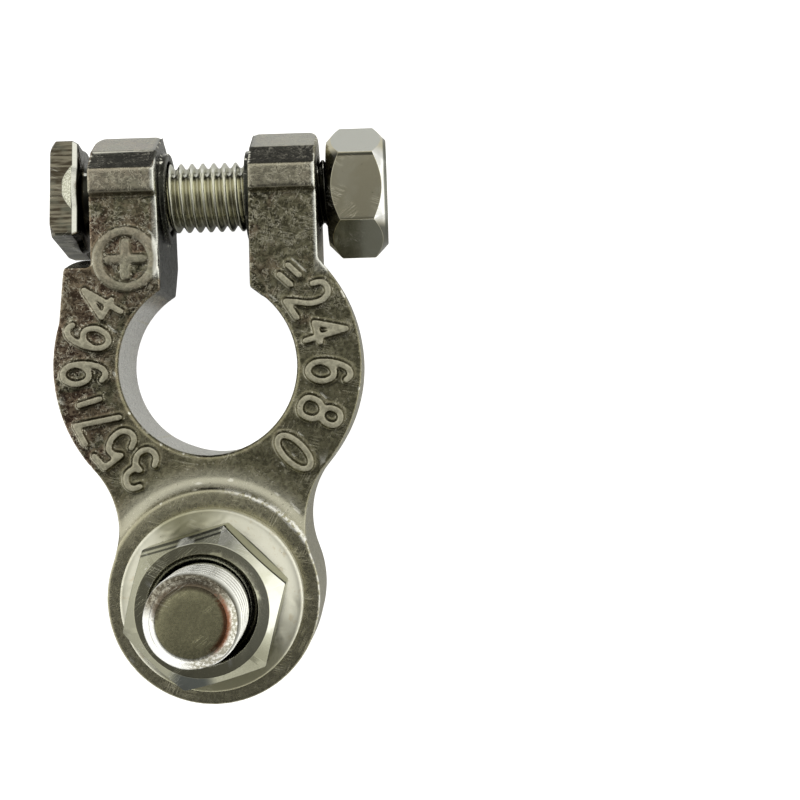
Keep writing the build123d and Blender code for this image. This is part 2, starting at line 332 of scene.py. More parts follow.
def clamp_bolt():
    angles = polygon_angles(HEAD_CORNER, 4, 36, (0.0, 0.7, 1.4, 2.0))
    low = BOLT_LOW[0]
    seat = low + HEAD_H
    top = BOLT_HIGH[0]
    point = BOLT_R - SINK
    plain = BOLT_R - 0.1     # neck that the thread grows out of
    run_in = 0.9             # length over which it deepens
    rows = steps_between(seat + run_in, top - 0.1, BOLT_PITCH / 12)
    wall = steps_between(seat - BEVEL - COLLAR_H, seat - BEVEL, 0.1)

    def profile(angle):
        r = polygon_radius(angle, HEAD_CORNER, 4, HEAD_SIDE / 2, HEAD_CORNER_R)
        circle = min(HEAD_CIRCLE, r - 0.15)
        drop = (r - circle) * SQUARE_SLOPE
        face = rounded(
            [(0.0, low), (circle, low), (r, low + drop), (r, wall[0])], [0.15, 0.12]
        )
        column = [face[0], (2.0, low), (4.0, low)] + face[1:]
        for z in wall[1:]:
            t = (z - wall[0]) / COLLAR_H
            collar = HEAD_SIDE / 2 + (COLLAR_R - HEAD_SIDE / 2) * t
            column.append((max(r, collar), z))
        for t in (0.08, 0.5, 0.92, 1.0):
            square = r * (1 - BEVEL_DROP * t / (HEAD_SIDE / 2))
            column.append((max(square, COLLAR_R - BEVEL_DROP * t), seat - BEVEL + BEVEL * t))
        column += [(BOLT_R + 0.6, seat), (BOLT_R + 0.05, seat + 0.02), (plain, seat + 0.35)]
        for z in rows:
            fade = max(0.0, min(1.0, (z - rows[0]) / run_in))
            cut = plain + (thread_radius(angle, z, BOLT_R, BOLT_PITCH) - plain) * fade
            column.append((min(cut, point + (top - z) * TIP_SLOPE), z))
        column += [(point - 0.1, top), (point / 2, top), (0.0, top)]
        return column

    place = Matrix.Translation((0, BOLT_Y, BOLT_Z)) @ BOLT_TURN
    mesh = lathe("clamp_bolt_m8", angles, profile, place)
    return hardware("clamp_bolt_m8", mesh, "clamp_bolt", "clamp_bolt")


WASHER_HOLE = 5.27
WASHER_COLUMNS = 120


def washer():
    low, high = WASHER_LOW[2], WASHER_HIGH[2]
    outer = WASHER_HIGH[0]
    ring = rounded(
        [(WASHER_HOLE, (low + high) / 2), (WASHER_HOLE, low), (outer, low), (outer, high),
         (WASHER_HOLE, high), (WASHER_HOLE, (low + high) / 2)],
        [0.1, 0.15, 0.35, 0.25], 4,
    )[:-1]
    angles = [2 * pi * i / WASHER_COLUMNS for i in range(WASHER_COLUMNS)]
    place = Matrix.Translation((0, STUD_Y, 0))
    mesh = lathe("washer_m10", angles, lambda angle: ring, place, True)
    return hardware("washer_m10", mesh, "washer", "washer")


# ------------------------------------------------------------------- casting

GLYPH_W = 1.12           # half width and half height of a character's centre lines
GLYPH_H = 2.35
TEXT_R = 13.55           # circle through the middle of the characters
TEXT_STROKE = (0.5, 0.3, 0.48)       # half width at the face and at the top, and the rise
SIGN_STROKE = (0.6, 0.36, 0.32)
STROKE_ROOT = 0.5        # how deep a stroke is buried
END_POINTS = 7           # round each end of a bar
CURVE_STEPS = 6          # between two points of a smooth stroke

# Strokes on a square from -1 to 1: "l" joins its points, "c" runs smoothly through
# them, "o" does so and closes.
GLYPHS = {
    "0": [("o", [(0, 1), (.72, .72), (1, 0), (.72, -.72), (0, -1), (-.72, -.72), (-1, 0),
                 (-.72, .72)])],
    "2": [("c", [(-.95, .5), (-.6, .9), (.05, 1), (.7, .85), (.92, .42), (.55, -.1),
                 (-.3, -.6), (-.95, -1)]), ("l", [(-.95, -1), (1, -1)])],
    "3": [("c", [(-.9, .7), (-.4, .97), (.3, .95), (.82, .6), (.6, .2), (0, .06)]),
          ("c", [(0, .06), (.7, -.08), (1, -.5), (.6, -.9), (-.1, -1), (-.7, -.85),
                 (-.98, -.5)])],
    "4": [("l", [(.45, -1), (.45, 1), (-1, -.35), (1, -.35)])],
    "5": [("l", [(.85, 1), (-.7, 1), (-.85, .05)]),
          ("c", [(-.85, .05), (-.2, .3), (.5, .25), (.98, -.2), (.85, -.75), (.1, -1),
                 (-.6, -.9), (-.98, -.55)])],
    "6": [("c", [(.75, .8), (.2, 1), (-.5, .8), (-.95, .1), (-.85, -.65), (-.2, -1),
                 (.55, -.9), (.98, -.4), (.65, .1), (0, .22), (-.65, 0), (-.93, -.35)])],
    "7": [("l", [(-1, 1), (1, 1), (-.3, -1)])],
    "8": [("o", [(0, 1), (.72, .8), (.72, .3), (0, .08), (-.72, .3), (-.72, .8)]),
          ("o", [(0, .08), (.88, -.2), (.88, -.8), (0, -1), (-.88, -.8), (-.88, -.2)])],
    "9": [("c", [(-.75, -.8), (-.2, -1), (.5, -.8), (.95, -.1), (.85, .65), (.2, 1),
                 (-.55, .9), (-.98, .4), (-.65, -.1), (0, -.22), (.65, 0), (.93, .35)])],
    "-": [("l", [(0, .5), (0, -.5)])],
    "=": [("l", [(-.75, .3), (.75, .3)]), ("l", [(-.75, -.3), (.75, -.3)])],
}

# Plain numerals along both arms: character and its angle from +X.
TEXT = [
    ("3", 235.5), ("5", 220.5), ("7", 207.0), ("-", 195.5), ("9", 182.0), ("6", 164.5),
    ("4", 148.5), ("=", 46.0), ("2", 32.0), ("4", 15.0), ("6", -4.5), ("8", -24.0),
    ("0", -46.5),
]

PLUS_AT = (-8.65, 12.1)
PLUS_RING_R = 3.1
PLUS_RING_POINTS = 40
PLUS_ARM = 1.85


def smooth_points(points, closed):
    """Catmull-Rom curve through the points."""
    count = len(points)
    out = []
    for i in range(count if closed else count - 1):
        if closed:
            p = [Vector(points[(i + k) % count]) for k in (-1, 0, 1, 2)]
        else:
            p = [Vector(points[max(0, min(count - 1, i + k))]) for k in (-1, 0, 1, 2)]
        for s in range(CURVE_STEPS):
            t = s / CURVE_STEPS
            out.append(0.5 * (
                2 * p[1] + (p[2] - p[0]) * t + (2 * p[0] - 5 * p[1] + 4 * p[2] - p[3]) * t ** 2
                + (3 * p[1] - p[0] - 3 * p[2] + p[3]) * t ** 3
            ))
    out.append(Vector(points[0] if closed else points[-1]))
    return out


def bar(bm, start, end, foot, top, rise):
    """Closed bar with round ends and sloping sides on the lettered face."""
    along = end - start
    turn = atan2(along.y, along.x)
    rings = []
    for level, half in ((FACE_Z - STROKE_ROOT, foot + 0.1), (FACE_Z, foot), (FACE_Z + rise, top)):
        ring = []
        for centre, first in ((start, turn + pi / 2), (end, turn - pi / 2)):
            for i in range(END_POINTS):
                angle = first + pi * i / (END_POINTS - 0.5)
                ring.append(bm.verts.new((
                    centre.x + half * cos(angle), centre.y + half * sin(angle), level
                )))
        rings.append(ring)
    for a, b in zip(rings, rings[1:]):
        for i in range(len(a)):
            k = (i + 1) % len(a)
            bm.faces.new((a[i], a[k], b[k], b[i]))
    bm.faces.new(rings[0][::-1])
    bm.faces.new(rings[-1])


def add_stroke(bm, points, shape):
    for start, end in zip(points, points[1:]):
        if (end - start).length > 1e-4:
            bar(bm, start, end, *shape)


def add_characters(bm):
    for character, degrees in TEXT:
        angle = radians(degrees)
        out = Vector((cos(angle), sin(angle)))
        along = Vector((sin(angle), -cos(angle)))
        for kind, points in GLYPHS[character]:
            placed = [along * x * GLYPH_W + out * (TEXT_R + y * GLYPH_H) for x, y in points]
            if kind != "l":
                placed = smooth_points(placed, kind == "o")
            add_stroke(bm, placed, TEXT_STROKE)
    centre = Vector(PLUS_AT)
    turns = (2 * pi * i / PLUS_RING_POINTS for i in range(PLUS_RING_POINTS + 1))
    ring = [centre + PLUS_RING_R * Vector((cos(a), sin(a))) for a in turns]
    add_stroke(bm, ring, SIGN_STROKE)
    for step in (Vector((PLUS_ARM, 0)), Vector((0, PLUS_ARM))):
        add_stroke(bm, [centre - step, centre + step], SIGN_STROKE)


CAST_VOXEL = 0.13
CAST_FACES = 92000


def casting():
    """The CAD body with its characters, all in one softened skin."""
    mesh = frame["nodes"]["clamp_body"].data.copy()
    mesh.materials.clear()
    bm = bmesh.new()
    bm.from_mesh(mesh)
    bmesh.ops.scale(bm, vec=(1 / MM,) * 3, verts=bm.verts)
    bmesh.ops.remove_doubles(bm, verts=bm.verts, dist=0.001)
    add_characters(bm)
    bmesh.ops.recalc_face_normals(bm, faces=bm.faces)
    bm.to_mesh(mesh)
    bm.free()
    piece = bpy.data.objects.new("clamp_casting", mesh)
    bpy.context.scene.collection.objects.link(piece)
    remesh = piece.modifiers.new("skin", "REMESH")
    remesh.mode = "VOXEL"
    remesh.voxel_size = CAST_VOXEL
    remesh.adaptivity = 0.0
    soft = piece.modifiers.new("soft", "SMOOTH")
    soft.factor = 0.5
    soft.iterations = 8
    mesh = applied(piece)
    reduce = piece.modifiers.new("reduce", "DECIMATE")
    reduce.ratio = min(1.0, CAST_FACES / len(mesh.polygons))
    mesh = applied(piece)
    mesh.transform(Matrix.Scale(MM, 4))
    for polygon in mesh.polygons:
        polygon.use_smooth = True
    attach(piece, "clamp")
    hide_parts("clamp_body")
    return piece


# ----------------------------------------------------------------- materials

X, Y, Z = range(3)
UP = (0.0, 0.0, 1.0)
RIGHT = (1.0, 0.0, 0.0)
LEFT = (-1.0, 0.0, 0.0)
TEXTURE_SHIFT = (0.37, 0.11, 0.05)   # mm per degree of turn, so that no two textures agree


class Finish:
    """A metal with its colour, gloss and relief worked out from places on the piece, in mm.

    A mask is 1 where something shows and 0 elsewhere. A spread from a high number down
    to a low one is 1 below the range.
    """

    def __init__(self, name):
        self.material = bpy.data.materials.new(name)
        self.material.use_nodes = True
        self.tree = self.material.node_tree
        self.shader = self.tree.nodes["Principled BSDF"]
        self.shader.inputs["Metallic"].default_value = 1.0
        coords = self.add("ShaderNodeTexCoord")
        scaled = self.add("ShaderNodeVectorMath", operation="SCALE")
        self.tree.links.new(coords.outputs["Object"], scaled.inputs[0])
        scaled.inputs["Scale"].default_value = 1 / MM
        self.place = scaled.outputs[0]

    # nodes

    def add(self, kind, **settings):
        node = self.tree.nodes.new(kind)
        for key, value in settings.items():
            setattr(node, key, value)
        return node

    def put(self, socket, value):
        if isinstance(value, bpy.types.NodeSocket):
            self.tree.links.new(value, socket)
        else:
            socket.default_value = value

    def math(self, operation, a, b=0.0):
        node = self.add("ShaderNodeMath", operation=operation)
        self.put(node.inputs[0], a)
        self.put(node.inputs[1], b)
        return node.outputs[0]

    def minus(self, a, b):
        return self.math("SUBTRACT", a, b)

    def times(self, *values):
        """Product of masks and numbers."""
        product = values[0]
        for value in values[1:]:
            product = self.math("MULTIPLY", product, value)
        return product

    def total(self, *terms):
        """Sum of values; a pair stands for its product."""
        parts = [self.times(*term) if isinstance(term, tuple) else term for term in terms]
        result = parts[0]
        for part in parts[1:]:
            result = self.math("ADD", result, part)
        return result

    def spread(self, value, low, high, out_low=0.0, out_high=1.0):
        """Map the range low to high smoothly on to another."""
        node = self.add("ShaderNodeMapRange", interpolation_type="SMOOTHSTEP")
        for socket, number in zip(node.inputs[:5], (value, low, high, out_low, out_high)):
            self.put(socket, number)
        return node.outputs[0]

    def near(self, value, middle, outer, inner):
        """1 where a value is within the inner distance of a middle, 0 beyond the outer."""
        return self.spread(self.math("ABSOLUTE", self.minus(value, middle)), outer, inner)

    def mix(self, factor, a, b):
        node = self.add("ShaderNodeMix", data_type="RGBA")
        self.put(node.inputs[0], factor)
        self.put(node.inputs[6], (*a, 1) if isinstance(a, tuple) else a)
        self.put(node.inputs[7], (*b, 1) if isinstance(b, tuple) else b)
        return node.outputs[2]

    def paint(self, colour, shade, *masks):
        """Lay a shade over the colour by the product of the masks."""
        return self.mix(self.times(*masks), colour, shade)

    # places

    def axis(self, index):
        node = self.add("ShaderNodeSeparateXYZ")
        self.put(node.inputs[0], self.place)
        return node.outputs[index]

    def from_axis(self, across, along, x0, y0):
        """Distance from an axis, and the two parts of the direction away from it."""
        u = self.minus(self.axis(across), x0)
        v = self.minus(self.axis(along), y0)
        length = self.math("SQRT", self.total((u, u), (v, v)))
        return length, self.math("DIVIDE", u, length), self.math("DIVIDE", v, length)

    def towards(self, toward_x, toward_y, degrees):
        """How nearly a direction, given by its parts along X and Y, points at an angle from +X."""
        angle = radians(degrees)
        return self.total((toward_x, cos(angle)), (toward_y, sin(angle)))

    def facing(self, direction, low=0.975, high=0.995):
        """Where the surface faces a direction of the piece's own frame."""
        dot = self.add("ShaderNodeVectorMath", operation="DOT_PRODUCT")
        self.put(dot.inputs[0], self.add("ShaderNodeTexCoord").outputs["Normal"])
        dot.inputs[1].default_value = direction
        return self.spread(dot.outputs["Value"], low, high)

    def edge(self, low=0.52, high=0.62):
        """1 on outer corners."""
        return self.spread(self.add("ShaderNodeNewGeometry").outputs["Pointiness"], low, high)

    def crevice(self, reach, low, high):
        """0 in gaps and corners narrower than the reach, 1 in the open."""
        node = self.add("ShaderNodeAmbientOcclusion", samples=6)
        node.inputs["Distance"].default_value = reach * MM
        return self.spread(node.outputs["AO"], low, high)

    # textures

    def moved(self, stretch, turn):
        """The place turned about Z and then stretched."""
        if stretch is None and turn == 0.0:
            return self.place
        turned = self.add("ShaderNodeMapping")
        self.put(turned.inputs["Vector"], self.place)
        turned.inputs["Rotation"].default_value = (0, 0, radians(turn))
        scaled = self.add("ShaderNodeMapping")
        self.put(scaled.inputs["Vector"], turned.outputs[0])
        scaled.inputs["Scale"].default_value = stretch or (1, 1, 1)
        scaled.inputs["Location"].default_value = [turn * shift for shift in TEXTURE_SHIFT]
        return scaled.outputs[0]

    def noise(self, scale, detail=3.0, rough=0.55, stretch=None, turn=0.0, bend=0.0):
        node = self.add("ShaderNodeTexNoise")
        self.put(node.inputs["Scale"], scale)
        self.put(node.inputs["Detail"], detail)
        self.put(node.inputs["Roughness"], rough)
        self.put(node.inputs["Distortion"], bend)
        self.put(node.inputs["Vector"], self.moved(stretch, turn))
        return node.outputs["Fac"]

    def cells(self, scale, turn=0.0):
        """Distance to the nearest of scattered points."""
        node = self.add("ShaderNodeTexVoronoi")
        self.put(node.inputs["Scale"], scale)
        self.put(node.inputs["Vector"], self.moved(None, turn))
        return node.outputs["Distance"]

    def scratches(self, turns, scale, thin):
        """Thin broken lines in several directions."""
        total = None
        for turn in turns:
            lines = self.noise(scale, 1.0, 0.4, (0.22, 5.0, 1.0), turn)
            line = self.near(lines, 0.5, thin, 0.0)
            breaks = self.spread(self.noise(0.35, 2.0, 0.5, turn=turn + 11), 0.55, 0.68)
            line = self.times(line, breaks)
            total = line if total is None else self.math("MAXIMUM", total, line)
        return total

    # results

    def relief(self, height, depth, below=None):
        """Normal of a bump whose full height is the depth in mm, on top of another."""
        node = self.add("ShaderNodeBump")
        node.inputs["Distance"].default_value = depth * MM
        node.inputs["Strength"].default_value = 1.0
        self.put(node.inputs["Height"], height)
        if below is not None:
            self.put(node.inputs["Normal"], below)
        return node.outputs[0]

    def finish(self, colour, roughness, normal):
        self.put(self.shader.inputs["Base Color"], colour)
        self.put(self.shader.inputs["Roughness"], roughness)
        self.put(self.shader.inputs["Normal"], normal)
        return self.material


# Places on the casting
BORE_R = 9.9
PAD_Y = 19.2             # ear pads start
PAD_FOOT_Y = 17.9        # and the slope up to them
GAP_Y = 8.0              # the bore opens into the gap
GAP_X = 5.9              # half width of the gap with its countersinks
EAR_EDGES_X = (-4.9, 12.9)           # right-hand edge of each ear
PLUS_OUT = 4.2           # reach of the circled plus


def cast_skin(f):
    """Mottled plate: even and olive round the boss, rough and rusty towards the ears."""
    x, y = f.axis(X), f.axis(Y)
    ears = f.math("MAXIMUM", f.spread(y, -4.0, 9.0),
                  f.times(f.spread(x, -8.0, -13.0), f.spread(y, -14.0, -9.0)))
    patches = f.noise(0.11, 2.0, 0.5, turn=21.0)
    f.rough_area = f.times(f.spread(patches, 0.35, 0.6, 0.6, 1.0),
                           f.spread(ears, 0.0, 1.0, 0.3, 1.0))
    rusty = f.noise(0.35, 3.0, 0.6, turn=5.0, bend=0.6)
    rusty = f.spread(f.minus(rusty, f.times(x, 0.009)), 0.46, 0.62)
    f.mottle = f.noise(1.9, 4.0, 0.66, bend=0.8)
    f.grain = f.noise(7.0, 2.0, 0.6)
    tone = f.spread(f.total((f.mottle, 0.85), (f.grain, 0.15)), 0.41, 0.61)
    dark = f.mix(rusty, (0.065, 0.06, 0.037), (0.10, 0.062, 0.045))
    pale = f.mix(rusty, (0.31, 0.29, 0.195), (0.34, 0.26, 0.185))
    even = f.mix(f.spread(tone, 0.0, 1.0, 0.45, 0.7), (0.22, 0.205, 0.12), (0.45, 0.425, 0.285))
    return f.mix(f.rough_area, even, f.mix(tone, dark, pale))


def cast_places(f, colour):
    """Colour of the boss rim, and painted light and shade: highlights on the flare, pads, bore,
    ear ends and characters, shade on the step, gap, knees and flanks.
    """
    x, y, z = (f.axis(i) for i in (X, Y, Z))
    boss, north = f.boss, f.north
    rim = f.times(f.spread(boss, BOSS_R + 0.3, BOSS_R), f.spread(z, FACE_Z + 0.2, FACE_Z + 0.4))
    colour = f.paint(colour, (0.56, 0.53, 0.38), rim, 0.85)
    # painted highlight: the ear pads are made lighter
    pad_highlight = f.times(f.spread(z, FACE_Z + 0.5, FACE_Z + 0.7), f.spread(y, PAD_Y, PAD_Y + 0.3))
    colour = f.paint(colour, (0.70, 0.655, 0.53), pad_highlight, 0.5)
    # painted shade on the slope up to the pads
    f.step = f.times(f.spread(z, FACE_Z + 0.06, FACE_Z + 0.16),
                     f.spread(z, FACE_Z + 0.76, FACE_Z + 0.66),
                     f.spread(y, PAD_FOOT_Y, PAD_FOOT_Y + 0.4))
    colour = f.paint(colour, (0.09, 0.08, 0.055), f.step, 0.75)
    # painted highlight: a pale band round the boss on its north side
    flare = f.times(f.spread(boss, BOSS_R - 0.1, BOSS_R + 0.7),
                    f.spread(boss, BOSS_R + 3.2, BOSS_R + 0.9),
                    f.spread(z, FACE_Z - 0.3, FACE_Z - 0.1), f.spread(north, 0.3, 0.8))
    colour = f.paint(colour, (0.70, 0.68, 0.56), flare, 0.75)
    # painted reflection: the bore wall is made near white
    f.bore = f.times(f.spread(f.from_axis(X, Y, 0.0, 0.0)[0], BORE_R + 0.25, BORE_R + 0.1),
                     f.spread(y, GAP_Y, GAP_Y - 1.5), f.spread(z, FACE_Z - 0.4, FACE_Z - 0.8))
    colour = f.paint(colour, (1.0, 1.0, 0.98), f.bore, 0.95)
    # painted shade: the gap between the ears is made near black
    f.gap = f.times(f.spread(y, GAP_Y - 1.5, GAP_Y),
                    f.spread(f.math("ABSOLUTE", x), GAP_X, GAP_X - 0.5),
                    f.spread(z, FACE_Z, FACE_Z - 0.7))
    colour = f.paint(colour, (0.042, 0.044, 0.038), f.gap, 0.95)
    # painted reflection: the ear end facets facing +Y are made pale
    f.ends = f.facing((0.0, 1.0, 0.0), 0.85, 0.95)
    colour = f.paint(colour, (0.88, 0.88, 0.84), f.ends, 0.75)
    # painted shade: the knee facets are made near black, mottled
    f.knee = f.facing((0.0, 0.766, 0.643))
    knee = f.mix(f.spread(f.mottle, 0.45, 0.68), (0.018, 0.017, 0.012), (0.06, 0.057, 0.045))
    colour = f.paint(colour, knee, f.knee)

    # characters: painted shade on the flanks, a painted highlight on one side of them, and crowns
    # made pale, partly rubbed wear and partly painted highlight
    f.raised = f.times(f.spread(z, FACE_Z + 0.01, FACE_Z + 0.04),
                       f.spread(z, FACE_Z + 0.62, FACE_Z + 0.5),
                       f.spread(y, PAD_FOOT_Y - 0.3, PAD_FOOT_Y - 0.7),
                       f.spread(boss, BOSS_R + 2.1, BOSS_R + 2.5))
    f.crown = f.times(f.raised, f.spread(z, FACE_Z + 0.1, FACE_Z + 0.2), f.facing(UP, 0.72, 0.9))
    flank = f.minus(f.raised, f.crown)
    colour = f.paint(colour, (0.10, 0.092, 0.062), flank, 0.75)
    lit = f.times(flank, f.facing((-0.9, -0.35, 0.3), 0.45, 0.8))
    colour = f.paint(colour, (0.80, 0.78, 0.64), lit, 0.35)
    # pale crowns: partly rubbed wear, partly painted highlight
    crown_sheen_and_wear = f.mix(f.spread(f.mottle, 0.4, 0.62), (0.60, 0.57, 0.44), (0.82, 0.79, 0.64))
    sign = f.spread(f.from_axis(X, Y, *PLUS_AT)[0], PLUS_OUT, PLUS_OUT - 0.2)
    return f.paint(colour, crown_sheen_and_wear, f.crown, f.spread(sign, 0.0, 1.0, 0.85, 0.5))


def cast_wear(f, colour):
    """Curls, specks, scratches, pits and bright edges over the coloured casting, with painted
    highlights on the ear edges and boss rim and painted shade in gaps and corners.
    """
    x, y, z = (f.axis(i) for i in (X, Y, Z))
    kept = f.total((f.step, 0.6), (f.knee, 0.7))
    kept = f.total(f.total((f.crown, 0.6), f.bore, f.gap), f.total(kept, (f.ends, 0.8)))
    plain = f.spread(kept, 1.0, 0.2)
    curl = f.near(f.noise(1.1, 2.0, 0.5, turn=47.0, bend=1.8), 0.5, 0.05, 0.012)
    f.curl = f.times(curl, f.spread(f.noise(1.2, 2.0, 0.5, turn=9.0), 0.44, 0.56), f.rough_area)
    colour = f.paint(colour, (0.80, 0.76, 0.62), f.curl, 0.8, plain)
    specks = f.spread(f.cells(1.6, 33.0), 0.2, 0.07)
    colour = f.paint(colour, (0.80, 0.76, 0.63), specks, 0.7, plain)
    f.lines = f.times(f.scratches((14.0, 118.0), 0.8, 0.02), f.facing(UP, 0.1, 0.7), 0.8)
    colour = f.paint(colour, (0.85, 0.82, 0.71), f.lines, 0.7)
    f.pits = f.spread(f.cells(1.4), 0.14, 0.05)
    colour = f.paint(colour, (0.09, 0.075, 0.05), f.pits, 0.6, plain)
    edge = f.times(f.edge(), f.spread(f.raised, 0.0, 1.0, 1.0, 0.12))
    colour = f.paint(colour, (0.92, 0.90, 0.79), edge)
    # painted highlight along the right-hand edge of each ear
    middle = sum(EAR_EDGES_X) / 2
    ear_edge_highlight = f.times(f.facing((0.707, 0.0, 0.707), 0.66, 0.8), f.spread(y, 9.5, 10.5),
                     f.spread(z, FACE_Z - 1.0, FACE_Z - 0.5),
                     f.near(f.math("ABSOLUTE", f.minus(x, middle)), EAR_EDGES_X[1] - middle,
                            0.9, 0.6))
    colour = f.paint(colour, (1.0, 1.0, 0.93), ear_edge_highlight)
    # scuffs on the outer edge of the boss rim, partly wear, brightened towards the north-east as a
    # painted highlight
    rim_scuffs_and_glint = f.times(f.near(f.boss, BOSS_R, 0.45, 0.1),
                      f.spread(f.total(f.east, (f.north, 0.6)), 0.6, 0.95),
                      f.spread(f.noise(1.6, 3.0, 0.6, turn=71.0), 0.42, 0.52),
                      f.spread(z, FACE_Z + 0.2, FACE_Z + 0.4))
    colour = f.paint(colour, (1.0, 0.99, 0.93), rim_scuffs_and_glint)
    # painted shade in gaps and corners
    return f.mix(f.crevice(2.5, 0.12, 0.4), (0.025, 0.024, 0.018), colour)


def cast_finish():
    """Nickel plate over a die casting: mottled, flecked, pitted and scratched.

    Each step keeps on f the masks that later steps read.
    """
    f = Finish("cast_plate")
    f.boss, f.east, f.north = f.from_axis(X, Y, 0.0, STUD_Y)
    colour = cast_wear(f, cast_places(f, cast_skin(f)))
    rough = f.spread(f.total(f.mottle, (f.grain, 0.4)), 0.5, 0.9, 0.2, 0.36)
    rough = f.total(rough, (f.crown, 0.3))
    slope = f.times(f.spread(f.boss, BOSS_R + 4.2, BOSS_R - 1.6), f.spread(f.north, 0.15, 0.7))
    normal = f.relief(f.mottle, 0.022)
    normal = f.relief(f.grain, 0.0025, normal)
    normal = f.relief(f.minus(f.total(f.lines, f.curl), f.pits), 0.012, normal)
    normal = f.relief(slope, 0.5, normal)
    return f.finish(colour, rough, normal)


def plate(name):
    """Shared ground of the bright zinc plate: a soft cloud, fine grain, specks and scratches."""
    f = Finish(name)
    f.cloud = f.noise(0.3, 2.0, 0.5, bend=0.4)
    f.grain = f.noise(5.0, 3.0, 0.6)
    f.specks = f.spread(f.cells(1.0), 0.1, 0.04)
    f.lines = f.scratches((24.0, 141.0), 0.7, 0.012)
    return f


def plate_end(f, colour, rough_low, rough_high, reach, below=None, grain_depth=0.0015, worn=0.7):
    """Wear, painted shade in the crevices and the fine relief over a plated colour."""
    colour = f.paint(colour, (0.90, 0.89, 0.82), f.lines, 0.45)
    colour = f.paint(colour, (0.26, 0.23, 0.16), f.specks, 0.45)
    colour = f.paint(colour, (0.95, 0.95, 0.88), worn, f.edge(0.53, 0.6))
    # painted shade in the crevices
    colour = f.mix(f.crevice(reach, 0.2, 0.6), (0.02, 0.019, 0.014), colour)
    rough = f.spread(f.grain, 0.35, 0.65, rough_low, rough_high)
    normal = f.relief(f.cloud, 0.004, below)
    normal = f.relief(f.grain, grain_depth, normal)
    normal = f.relief(f.lines, 0.006, normal)
    return f.finish(colour, rough, normal)


def nut_finish():
    """M10 nut: painted light on the chamfers of one side, painted shade round the rest, painted
    shade lines on the flats, and painted shade on the sides.
    """
    f = plate("nut_plate")
    out, toward_x, toward_y = f.from_axis(X, Y, 0.0, STUD_Y)
    z = f.axis(Z)
    flat_r = NUT_AF / 2 * FLAT_SHARE
    colour = f.mix(f.spread(f.cloud, 0.4, 0.6), (0.80, 0.80, 0.66), (0.94, 0.94, 0.83))
    # painted light on the chamfers facing 30 degrees from +X, painted shade on the rest
    bright = f.spread(f.towards(toward_x, toward_y, 30.0), 0.35, 0.85)
    colour = f.mix(bright, (0.31, 0.305, 0.225), colour)
    # painted shade on the side facing 260 degrees from +X
    deep = f.spread(f.towards(toward_x, toward_y, 260.0), 0.93, 0.99)
    colour = f.paint(colour, (0.04, 0.045, 0.042), deep, 0.95)
    # painted shade lines along one flat
    across = f.times(out, f.towards(toward_x, toward_y, NUT_TURN + 90.0))
    shade_lines = f.math("MAXIMUM", f.near(across, 7.6, 0.2, 0.1), f.near(across, 7.13, 0.14, 0.06))
    colour = f.paint(colour, (0.04, 0.04, 0.03), shade_lines, 0.85)
    # top face: worn pale, and lighter towards +X as painted light
    top = f.times(f.spread(z, NUT_HIGH[2] - 0.14, NUT_HIGH[2] - 0.05), f.spread(out, 7.1, 6.9))
    top_wear_and_light = f.mix(f.spread(toward_x, 0.3, 0.9), (0.64, 0.62, 0.46), (0.86, 0.85, 0.68))
    colour = f.paint(colour, top_wear_and_light, top, 0.8)
    # painted shade on the side faces
    sides = f.facing(UP, 0.45, 0.25)
    colour = f.paint(colour, (0.30, 0.30, 0.22), sides, 0.95)
    # painted shade low on the side faces and just below the chamfer
    under = f.minus(f.minus(NUT_HIGH[2], z), f.times(f.minus(out, flat_r), HEX_SLOPE))
    line = f.math("MAXIMUM", f.spread(z, NUT_LOW[2] + 1.9, NUT_LOW[2] + 1.1),
                  f.spread(under, 1.2, 0.6))
    line = f.times(line, sides)
    colour = f.paint(colour, (0.03, 0.03, 0.022), line)
    # the painted shade on that line also darkens the reflections there
    glance = f.mix(sides, (1.0, 1.0, 1.0), (0.72, 0.72, 0.62))
    f.put(f.shader.inputs["Specular Tint"], f.mix(line, glance, (0.04, 0.04, 0.03)))
    return plate_end(f, colour, 0.12, 0.19, 1.2)


HALF_SIDES = 3.4641      # distance across a hexagon's flats over half of a side


